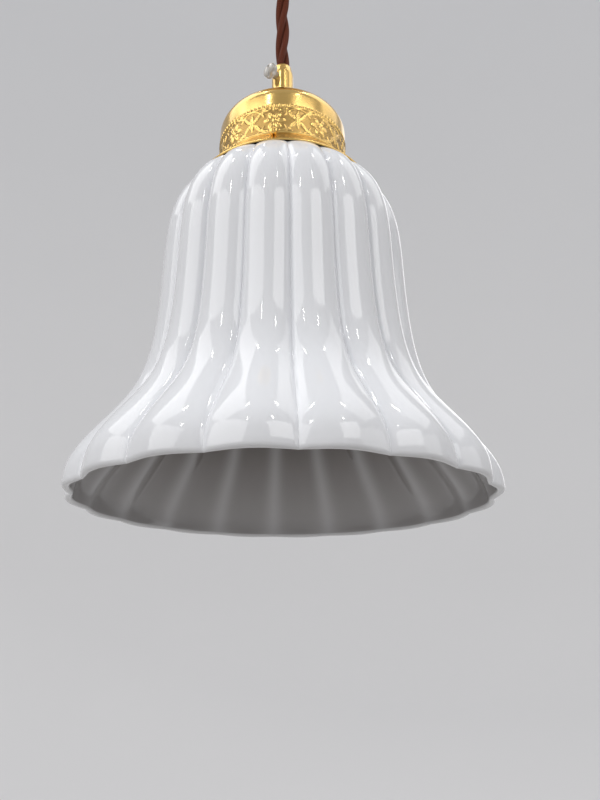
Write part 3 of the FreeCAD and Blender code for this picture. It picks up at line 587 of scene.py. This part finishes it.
def holder_cap_grid():
    """The lampholder's domed cap round its hub."""
    low, top = levels("holder_cap")
    knee = low + 0.45 * (top - low)
    outer = bow((8.0, knee), 11.6, top - knee, 90, 0, 40)
    inner = bow((8.0, knee), 10.8, top - knee - 0.8, 0, 90, 30)
    section = np.vstack([[(5.0, top)], outer, [(19.6, low), (18.8, low)], inner,
                         [(8.0, top - 8.0), (5.0, top - 8.0)]])
    return turned_grid(resampled(section * MM, 240, closed=True), 128)


def screw_place(node_name):
    """The level in metres and the angle of a packed screw that lies along a radius."""
    low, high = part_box(node_name)
    return 0.5 * (low.z + high.z), math.atan2(low.y + high.y, low.x + high.x)


def screw_grid(level, angle, shank, head, near, seat, far, slot, depth):
    """A domed, slotted screw that lies along a radius of the lamp, all in mm but its level.

    It is turned about its own axis, and the head is pressed in by the depth where the distance across it is
    under half the slot's width, over a narrow soft edge.
    """
    crown = 0.3 * (far - seat)
    arch = bow((0, far - crown), head - 0.2, crown, 0, 90, 24)
    section = np.vstack([[(0, near)], rounded([(shank, near, 0.3), (shank, seat, 0), (head, seat, 0.3),
                                               (head, far - crown, 0.1)], 5) / MM, arch])
    grid = turned_grid(resampled(section, 150), 120)
    grid[[0, -1], :, :2] = 0
    x, y, reach = np.moveaxis(grid, -1, 0)
    floor = far - depth
    press = np.clip((0.5 * slot + 0.08 - np.abs(y)) / 0.08, 0, 1) * (reach > floor)
    reach = reach - press * (reach - floor)
    cos, sin = math.cos(angle), math.sin(angle)
    return np.stack([reach * cos - y * sin, reach * sin + y * cos, x], -1) * MM + (0, 0, level)


# Flex

def strand_grid(path, radius, offset, twist, phase, around=20):
    """A round core that winds about a path: its centre is offset from the path and turns once in each twist length.

    The ends shrink to a point, so that the core is closed.
    """
    along = unit(np.gradient(path, axis=0))
    side = unit(np.cross(along, (0, 1, 0)))
    turn = (2 * math.pi * travelled(path) / twist + phase)[:, None]
    out = side * np.cos(turn) + np.cross(along, side) * np.sin(turn)
    centre = path + offset * out
    ahead = unit(np.gradient(centre, axis=0))
    out = unit(out - ahead * (out * ahead).sum(1)[:, None])
    across = np.cross(ahead, out)
    angle = np.linspace(0, 2 * math.pi, around, endpoint=False)[None, :, None]
    size = np.full((len(path), 1, 1), radius)
    size[[0, -1]] = 0
    return centre[:, None] + size * (np.cos(angle) * out[:, None] + np.sin(angle) * across[:, None])


def route_points():
    """The flex's route, from the knot to the cord grip, as points read from its spline."""
    curve = bpy.data.curves.new("flex_route", "CURVE")
    curve.dimensions = "3D"
    curve.resolution_u = 90
    spline = curve.splines.new("NURBS")
    stops = [(0, 0, FLEX_HIGH.z), (0, 0, 0.5 * (FLEX_LOW.z + FLEX_HIGH.z)), (0, 0, FLEX_LOW.z)]
    spline.points.add(len(stops) - 1)
    for point, stop in zip(spline.points, stops):
        point.co = (*stop, 1)
    spline.use_endpoint_u = True
    spline.order_u = 3
    holder = bpy.data.objects.new("flex_route", curve)
    mesh = bpy.data.meshes.new_from_object(holder)
    points = np.zeros(3 * len(mesh.vertices))
    mesh.vertices.foreach_get("co", points)
    bpy.data.objects.remove(holder)
    bpy.data.curves.remove(curve)
    bpy.data.meshes.remove(mesh)
    return points.reshape(-1, 3)


def knot_path(centre, count=150):
    """A closed (2, 3) torus knot: radius R + s cos 3t and height h sin 3t while the angle goes round twice."""
    t = np.linspace(0, 2 * math.pi, count)
    return polar((3.7 + 1.8 * np.cos(3 * t)) * MM, 2 * t, 3.6 * MM * np.sin(3 * t)) + centre


# Shader groups

def feed(socket, value):
    """Link a socket to another one, or give it a plain value."""
    if isinstance(value, bpy.types.NodeSocket):
        socket.id_data.links.new(value, socket)
    else:
        socket.default_value = value


def node(tree, kind, **settings):
    """A new node with some of its settings set and some of its inputs fed."""
    made = tree.nodes.new(kind)
    for key, value in settings.items():
        if hasattr(made, key):
            setattr(made, key, value)
        else:
            feed(made.inputs[key], value)
    return made


def math_node(operation, *values, clamp=False):
    """A math node fed by sockets or numbers, in the tree of the first socket."""
    tree = next(value.id_data for value in values if isinstance(value, bpy.types.NodeSocket))
    made = node(tree, "ShaderNodeMath", operation=operation, use_clamp=clamp)
    for socket, value in zip(made.inputs, values):
        feed(socket, value)
    return made.outputs[0]


def plus(a, b, clamp=False):
    """a + b"""
    return math_node("ADD", a, b, clamp=clamp)


def minus(a, b):
    """a - b"""
    return math_node("SUBTRACT", a, b)


def times(a, b):
    """a * b"""
    return math_node("MULTIPLY", a, b)


def sine(a, rate):
    """sin(rate * a)"""
    return math_node("SINE", times(a, rate))


def noise(vector, scale, detail=3.0, roughness=0.5, distortion=0.0):
    """The value of a noise texture."""
    return node(vector.id_data, "ShaderNodeTexNoise", Vector=vector, Scale=scale, Detail=detail,
                Roughness=roughness, Distortion=distortion).outputs["Fac"]


def blended(share, a, b):
    """A colour between two, by a share."""
    made = node(share.id_data, "ShaderNodeMix", data_type="RGBA")
    for number, value in ((0, share), (6, a), (7, b)):
        feed(made.inputs[number], value)
    return made.outputs[2]


def bump(height, distance):
    """A normal from a height."""
    return node(height.id_data, "ShaderNodeBump", Height=height, Distance=distance).outputs["Normal"]


def new_group(name, **inputs):
    """A shader group that gives a colour, a roughness and a normal: it, its inputs and the Object coordinates."""
    group = bpy.data.node_groups.new(name, "ShaderNodeTree")
    for title, value in inputs.items():
        kind = "NodeSocketColor" if isinstance(value, tuple) else "NodeSocketFloat"
        group.interface.new_socket(name=title, in_out="INPUT", socket_type=kind).default_value = value
    for title, kind in (("Colour", "Color"), ("Roughness", "Float"), ("Normal", "Vector")):
        group.interface.new_socket(name=title, in_out="OUTPUT", socket_type="NodeSocket" + kind)
    given = group.nodes.new("NodeGroupInput").outputs
    return group, given, group.nodes.new("ShaderNodeTexCoord").outputs["Object"]


def close_group(group, *values):
    """Link a group's colour, roughness and normal to its outputs."""
    for value, socket in zip(values, group.nodes.new("NodeGroupOutput").inputs):
        feed(socket, value)
    return group


def handled_metal():
    """Metal that has been polished and handled: cloudy colour, tarnish in recesses, fine lines and soft dents."""
    group, given, place = new_group("handled_metal", Colour=(0.8, 0.6, 0.3, 1), Tarnish=(0.2, 0.1, 0.05, 1),
                                    Roughness=0.2, Spread=0.1, Recess=0.0, Grain=500.0)
    cloud = noise(place, 45.0, 4.0, 0.6)
    fine = noise(place, given["Grain"], 2.0)
    mask = plus(given["Recess"], times(minus(cloud, 0.42), 0.55), clamp=True)
    rough = plus(times(minus(fine, 0.5), given["Spread"]), given["Roughness"])
    return close_group(group, blended(mask, given["Colour"], given["Tarnish"]),
                       plus(rough, times(mask, 0.22), clamp=True),
                       bump(plus(cloud, times(fine, 0.10)), 0.08 * MM))


def blown_glass():
    """Glass blown into a mould: long soft waves, fine streaks, a slight change of whiteness, and painted shade that
    turns the colour towards a darker one by a mask.
    """
    group, given, place = new_group("blown_glass", Colour=(0.8, 0.8, 0.8, 1), Deep=(0.7, 0.7, 0.7, 1),
                                    Inner=(0.6, 0.6, 0.6, 1), Inside=0.0, Wave=1.0)
    stretched = node(group, "ShaderNodeMapping", Vector=place, Scale=(1.0, 1.0, 0.35)).outputs["Vector"]
    wave = noise(stretched, 38.0, 1.0)
    streak = noise(stretched, 210.0, 2.0, 0.6, 0.6)
    clouded = blended(times(noise(stretched, 14.0), 0.6), given["Colour"], given["Deep"])
    height = times(plus(wave, times(streak, 0.02)), given["Wave"])
    return close_group(group, blended(given["Inside"], clouded, given["Inner"]),
                       plus(times(streak, 0.05), 0.045), bump(height, 0.5 * MM))


def braid():
    """Braided thread on a core, from its UV map: two slanting sets of threads that pass over each other in turn,
    with painted shade that darkens the low parts between the threads.
    """
    group, given, place = new_group("braid", Thread=(0.2, 0.1, 0.1, 1), Gap=(0.05, 0.02, 0.02, 1))
    u, v, _ = node(group, "ShaderNodeSeparateXYZ",
                   Vector=group.nodes.new("ShaderNodeTexCoord").outputs["UV"]).outputs
    slants = plus(u, v), minus(u, v)
    right, left = (times(plus(sine(slant, 2 * math.pi), 1.0), 0.5) for slant in slants)
    over = math_node("GREATER_THAN", times(sine(slants[0], math.pi), sine(slants[1], math.pi)), 0.0)
    height = plus(times(right, over), times(left, minus(1.0, over)))
    fuzz = noise(place, 2600.0, 2.0)
    shade = plus(times(height, 0.75), times(fuzz, 0.35), clamp=True)
    return close_group(group, blended(shade, given["Gap"], given["Thread"]),
                       minus(0.85, times(height, 0.25)), bump(plus(height, times(fuzz, 0.3)), 0.22 * MM))


def moulded():
    """Moulded or fired matter: faint clouds of colour and a skin that is not quite even."""
    group, given, place = new_group("moulded", Colour=(0.8, 0.8, 0.8, 1), Shade=(0.6, 0.6, 0.6, 1),
                                    Roughness=0.4, Scale=120.0)
    cloud = noise(place, given["Scale"])
    return close_group(group, blended(times(cloud, 0.7), given["Colour"], given["Shade"]),
                       plus(given["Roughness"], times(minus(cloud, 0.5), 0.2)),
                       bump(noise(place, 1800.0, 2.0), 0.03 * MM))


# Finishes

# By material slot: colour, tarnish, roughness, its spread, and grain
METALS = {
    "plain_brass": ((0.78, 0.58, 0.26), (0.30, 0.19, 0.07), 0.30, 0.2, 900.0),
    "zinc_steel": ((0.62, 0.63, 0.66), (0.34, 0.34, 0.33), 0.34, 0.25, 420.0),
    "bronze": ((0.72, 0.50, 0.30), (0.28, 0.15, 0.08), 0.28, 0.2, 800.0),
    "nickel_cap": ((0.72, 0.71, 0.68), (0.42, 0.40, 0.36), 0.22, 0.15, 900.0),
    "solder": ((0.60, 0.61, 0.62), (0.36, 0.36, 0.36), 0.42, 0.25, 900.0),
    "tungsten": ((0.34, 0.34, 0.35), (0.16, 0.16, 0.17), 0.40, 0.2, 900.0),
}
# By material slot: colour, shade, roughness, scale of the clouds, and the shader's own values
MOULDED = {
    "porcelain": ((0.86, 0.85, 0.81), (0.78, 0.76, 0.71), 0.16, 120.0, {"Coat Weight": 0.4}),
    "white_nylon": ((0.82, 0.82, 0.79), (0.72, 0.72, 0.68), 0.42, 120.0, {}),
    "clear_nylon": ((0.78, 0.76, 0.73), (0.60, 0.58, 0.55), 0.16, 300.0,
                    {"IOR": 1.5, "Transmission Weight": 0.6}),
    "dark_glass": ((0.03, 0.03, 0.04), (0.06, 0.06, 0.07), 0.12, 120.0, {}),
}


def finish_with(name, group, values, shader, **masks):
    """A material whose Principled shader takes colour, roughness and normal from a shared group.

    The group is given by the function that makes it, which has its name. masks gives the mesh attributes
    that feed some of its sockets.
    """
    title = "finish_" + name
    if title in bpy.data.materials:
        return bpy.data.materials[title]
    material = bpy.data.materials.new(title)
    material.use_nodes = True
    tree = material.node_tree
    principled = tree.nodes["Principled BSDF"].inputs
    placed = tree.nodes.new("ShaderNodeGroup")
    placed.node_tree = bpy.data.node_groups.get(group.__name__) or group()
    for socket, value in values.items():
        feed(placed.inputs[socket], value if isinstance(value, float) else (*value, 1))
    for socket, attribute in masks.items():
        feed(placed.inputs[socket], node(tree, "ShaderNodeAttribute", attribute_name=attribute).outputs["Fac"])
    for output, socket in (("Colour", "Base Color"), ("Roughness", "Roughness"), ("Normal", "Normal")):
        feed(principled[socket], placed.outputs[output])
    for socket, value in shader.items():
        feed(principled[socket], value)
    return material


def polished_brass(settings):
    """The lamp's bright brass, with dark tarnish where the mesh says it is recessed."""
    return finish_with("polished_brass", handled_metal, {
        "Colour": settings.brass, "Tarnish": settings.tarnish, "Roughness": 0.19, "Spread": 0.10, "Grain": 700.0},
        {"Metallic": 1.0}, Recess="recess")


def opal_glass(settings):
    """Glossy opal white glass, with painted shade inside the bell: darker, warmer grey where the mesh's mask says
    so.
    """
    return finish_with("opal_glass", blown_glass, {
        "Colour": settings.colour, "Deep": [0.93 * part for part in settings.colour], "Inner": settings.inner},
        {"IOR": 1.52}, Inside="inside")


def flex_braid(settings):
    """The braided cover of the cores."""
    return finish_with("flex_braid", braid, {"Thread": settings.colour, "Gap": settings.shadow},
                       {"Specular IOR Level": 0.2, "Sheen Weight": 0.01, "Sheen Roughness": 0.4})


def finish(slot):
    """The finish of a material slot."""
    scene = bpy.context.scene
    if slot == "polished_brass":
        return polished_brass(scene.lamp_gallery)
    if slot == "opal_glass":
        return opal_glass(scene.lamp_bell)
    if slot == "flex_braid":
        return flex_braid(scene.lamp_flex)
    if slot == "clear_glass":
        return finish_with(slot, blown_glass, {"Colour": (0.95, 0.97, 0.97), "Deep": (0.9, 0.93, 0.93),
                                               "Wave": 0.25}, {"IOR": 1.45, "Transmission Weight": 1.0})
    if slot in METALS:
        names = ("Colour", "Tarnish", "Roughness", "Spread", "Grain")
        return finish_with(slot, handled_metal, dict(zip(names, METALS[slot])), {"Metallic": 1.0})
    *values, shader = MOULDED[slot]
    return finish_with(slot, moulded, dict(zip(("Colour", "Shade", "Roughness", "Scale"), values)), shader)


# Operators

CAMERA_SHIFT = 0.0219
SURROUND, SEEN_DARKER = 0.60, 0.055

# Rectangular lamps: place, width and height in metres, and power in watts
LAMPS = {
    "window": ((1.15, -1.7, 1.05), 1.4, 1.0, 12.0),
    "fill": ((2.2, -0.7, 0.3), 1.6, 1.6, 8.0),
    "top_left": ((-1.15, 0.1, 1.6), 1.2, 1.2, 8.0),
    "top_right": ((1.15, 0.1, 1.6), 1.2, 1.2, 5.2),
    "back": ((0.6, 2.0, 0.9), 1.8, 1.8, 10.0),
    "glint_0": ((-0.62, -1.15, 1.15), 0.05, 0.2, 1.1),
    "glint_1": ((0.55, -1.1, 1.3), 0.05, 0.2, 1.1),
    "glint_2": ((-0.55, -0.35, 1.75), 0.05, 0.2, 1.1),
    "glint_3": ((0.62, -0.3, 1.75), 0.05, 0.2, 1.1),
    "glint_4": ((-0.3, 0.5, 1.75), 0.05, 0.2, 1.1),
}


class LAMP_OT_stage(bpy.types.Operator):
    """Make the floor, backdrop, lamps, world and camera"""
    bl_idname = "lamp.stage"
    bl_label = "Stage"

    def execute(self, context):
        settings = context.scene.lamp_stage
        context.scene.view_settings.view_transform = "Standard"
        self.camera(context.scene, settings)
        self.backdrop(context.scene, settings)
        self.world(context.scene)
        for name, lamp in {"key": ((-2.1, -1.5, 0.9), 2.6, 2.2, settings.key), **LAMPS}.items():
            self.softbox(context.scene, name, *lamp)
        return {"FINISHED"}

    def camera(self, scene, settings):
        """A camera below the rim that looks up at the bell."""
        data = bpy.data.cameras.new("camera")
        data.lens = settings.lens
        data.shift_x = CAMERA_SHIFT
        data.clip_start = 0.01
        camera = bpy.data.objects.new("camera", data)
        scene.collection.objects.link(camera)
        camera.location = (-math.sin(settings.turn) * settings.distance,
                           -math.cos(settings.turn) * settings.distance, RIM_Z - settings.drop)
        camera.rotation_euler = (0.5 * math.pi + settings.pitch, 0, -settings.turn)
        scene.camera = camera

    def backdrop(self, scene, settings):
        """A round floor that curves up into a wall all round: a flat, a quarter circle and an upright, turned."""
        low, reach, radius, height = RIM_Z - 0.6, 3.2, 0.9, 4.5
        bend = bow((reach - radius, low + radius), radius, radius, -90, 0, 24)
        mesh = make_mesh("backdrop", [turned_grid(np.vstack([[(0, low)], bend, [(reach, height)]]))])
        material = finish_with("backdrop_paper", moulded, {
            "Colour": settings.floor, "Shade": [0.96 * part for part in settings.floor], "Roughness": 0.8,
            "Scale": 2.0}, {"Emission Color": (0.93, 0.95, 1.0, 1)})
        self.shown_pale(material.node_tree, settings.paleness)
        mesh.materials.append(material)
        paper = bpy.data.objects.new("backdrop", mesh)
        scene.collection.objects.link(paper)

    def shown_pale(self, tree, paleness):
        """Make a paper look paler to the camera, in metal and through glass, and leave its shadows on it."""
        path = tree.nodes.new("ShaderNodeLightPath").outputs
        seen = math_node("MAXIMUM", path["Is Camera Ray"], path["Is Transmission Ray"])
        seen = math_node("MAXIMUM", seen, path["Is Glossy Ray"])
        feed(tree.nodes["Principled BSDF"].inputs["Emission Strength"], times(seen, paleness))

    def world(self, scene):
        """An even, pale surround, which the camera sees as pale as the top of the backdrop."""
        scene.world = bpy.data.worlds.new("studio")
        scene.world.use_nodes = True
        tree = scene.world.node_tree
        shine = tree.nodes["Background"].inputs
        shine["Color"].default_value = (0.94, 0.96, 1.0, 1)
        seen = tree.nodes.new("ShaderNodeLightPath").outputs["Is Camera Ray"]
        feed(shine["Strength"], minus(SURROUND, times(seen, SEEN_DARKER)))

    def softbox(self, scene, name, place, width, height, power):
        """A rectangular lamp that faces the middle of the bell."""
        light = bpy.data.lights.new(name, "AREA")
        light.shape = "RECTANGLE"
        light.size, light.size_y, light.energy = width, height, power
        lamp = bpy.data.objects.new(name, light)
        scene.collection.objects.link(lamp)
        lamp.location = place
        aim = Vector((0, 0, 0.5 * (RIM_Z + FLANGE_Z)))
        lamp.rotation_euler = (aim - Vector(place)).to_track_quat("-Z", "Y").to_euler()


class LAMP_OT_flex(bpy.types.Operator):
    """Make the twisted, braided flex and its knot"""
    bl_idname = "lamp.flex"
    bl_label = "Twisted flex"

    def execute(self, context):
        settings = context.scene.lamp_flex
        path = route_points()
        length = float(travelled(path)[-1])
        fine = resampled(path, 190)
        offset = 2 * settings.strand / math.sqrt(3)
        strands = [strand_grid(fine, settings.strand, offset, settings.twist, settings.phase + turn)
                   for turn in (0, 2 * math.pi / 3, 4 * math.pi / 3)]
        flex = add_piece("twisted_flex", strands, "flex", "flex_braid", "flex_cord",
                         uv_scale=(8, length / (1.5 * MM)))
        centre = np.array(0.5 * (KNOT_LOW + KNOT_HIGH))
        loops = strand_grid(knot_path(centre), 1.3 * settings.strand, 0.0, settings.twist, 0.0)
        add_piece("tied_knot", [loops], "knot", "flex_braid", "flex_knot", uv_scale=(8, 90))
        return {"FINISHED"}


class LAMP_OT_bell(bpy.types.Operator):
    """Make the fluted opal glass bell"""
    bl_idname = "lamp.bell"
    bl_label = "Glass bell"

    def execute(self, context):
        grid, shaded = bell_grid(context.scene.lamp_bell)
        # The inside mask carries painted shade onto the inside of the bell.
        add_piece("opal_bell", [grid], "lamp", "opal_glass", "shade", wrap_rows=True, masks={"inside": shaded})
        return {"FINISHED"}


class LAMP_OT_gallery(bpy.types.Operator):
    """Make the embossed brass gallery"""
    bl_idname = "lamp.gallery"
    bl_label = "Brass gallery"

    def execute(self, context):
        grid, recess = gallery_grid(context.scene.lamp_gallery)
        add_piece("embossed_gallery", [grid], "lamp", "polished_brass", "gallery", wrap_rows=True,
                  masks={"recess": recess})
        return {"FINISHED"}


class LAMP_OT_grip(bpy.types.Operator):
    """Make the turned cord grip and its nylon side screw"""
    bl_idname = "lamp.grip"
    bl_label = "Cord grip"

    def execute(self, context):
        add_piece("turned_grip", [grip_grid()], "lamp", "polished_brass", "cord_grip", wrap_rows=True)
        grid = screw_grid(*screw_place("grip_screw"), **SIDE_SCREW)
        add_piece("nylon_screw", [grid], "grip_side_screw", "clear_nylon", "grip_screw")
        return {"FINISHED"}


class LAMP_OT_screws(bpy.types.Operator):
    """Make the small brass screws of the gallery and the ceiling rose"""
    bl_idname = "lamp.screws"
    bl_label = "Brass screws"

    def execute(self, context):
        for number in (1, 2, 3):
            packed, body = "gallery_screw_%d" % number, "shade_screw_%d" % number
            grid = screw_grid(*screw_place(packed), **SHADE_SCREW)
            add_piece("brass_" + body, [grid], body, "polished_brass", packed)
        level = screw_place("rose_screws")[0]
        pair = [screw_grid(level, angle, **COVER_SCREW) for angle in (0, math.pi)]
        add_piece("cover_screws", pair, "ceiling_rose", "polished_brass", "rose_screws")
        return {"FINISHED"}


class LAMP_OT_rose(bpy.types.Operator):
    """Make the spun cover of the ceiling rose"""
    bl_idname = "lamp.rose"
    bl_label = "Ceiling rose"

    def execute(self, context):
        add_piece("spun_cover", [cover_grid()], "ceiling_rose", "polished_brass", "rose_cover", wrap_rows=True)
        return {"FINISHED"}


class LAMP_OT_bulb(bpy.types.Operator):
    """Make the bulb, its threaded cap and the lampholder's shell, skirt and cap"""
    bl_idname = "lamp.bulb"
    bl_label = "Bulb and lampholder"

    def execute(self, context):
        add_piece("blown_bulb", [bulb_grid()], "bulb", "clear_glass", "bulb_glass")
        for name, grid, slot, body, packed in (
                ("threaded_cap", cap_grid(), "nickel_cap", "bulb", "bulb_cap"),
                ("threaded_shell", shell_grid(), "bronze", "lamp", "screw_shell"),
                ("beaded_skirt", skirt_grid(), "plain_brass", "lamp", "holder_skirt"),
                ("domed_cap", holder_cap_grid(), "plain_brass", "lamp", "holder_cap")):
            add_piece(name, [grid], body, slot, packed, wrap_rows=True)
        return {"FINISHED"}


class LAMP_OT_finishes(bpy.types.Operator):
    """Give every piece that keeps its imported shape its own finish"""
    bl_idname = "lamp.finishes"
    bl_label = "Finishes"

    def execute(self, context):
        for part in frame["record"]["subparts"]:
            shown = frame["nodes"][part["node"]]
            shown.data.materials.clear()
            shown.data.materials.append(finish(part["material_slot"]))
        return {"FINISHED"}


class LAMP_PT_panel(bpy.types.Panel):
    """The lamp's pieces"""
    bl_label = "Pendant lamp"
    bl_idname = "LAMP_PT_panel"
    bl_space_type = "VIEW_3D"
    bl_region_type = "UI"
    bl_category = "Lamp"

    def draw(self, context):
        for operator in STEPS:
            self.layout.operator(operator.bl_idname)


SETTINGS = {"lamp_bell": BellSettings, "lamp_gallery": GallerySettings, "lamp_flex": FlexSettings,
            "lamp_stage": StageSettings}
STEPS = (LAMP_OT_stage, LAMP_OT_flex, LAMP_OT_bell, LAMP_OT_gallery, LAMP_OT_grip, LAMP_OT_screws, LAMP_OT_rose,
         LAMP_OT_bulb, LAMP_OT_finishes)


def register():
    """Add the settings, operators and panel."""
    for kind in (*SETTINGS.values(), *STEPS, LAMP_PT_panel):
        bpy.utils.register_class(kind)
    for name, kind in SETTINGS.items():
        setattr(bpy.types.Scene, name, PointerProperty(type=kind))


def unregister():
    """Take them away again."""
    for name in SETTINGS:
        delattr(bpy.types.Scene, name)
    for kind in (LAMP_PT_panel, *reversed(STEPS), *reversed(SETTINGS.values())):
        bpy.utils.unregister_class(kind)


def main():
    """Build everything in order."""
    register()
    bpy.ops.lamp.stage()
    bpy.ops.lamp.flex()
    bpy.ops.lamp.bell()
    bpy.ops.lamp.gallery()
    bpy.ops.lamp.grip()
    bpy.ops.lamp.screws()
    bpy.ops.lamp.rose()
    bpy.ops.lamp.bulb()
    bpy.ops.lamp.finishes()


if __name__ == "__main__":
    main()
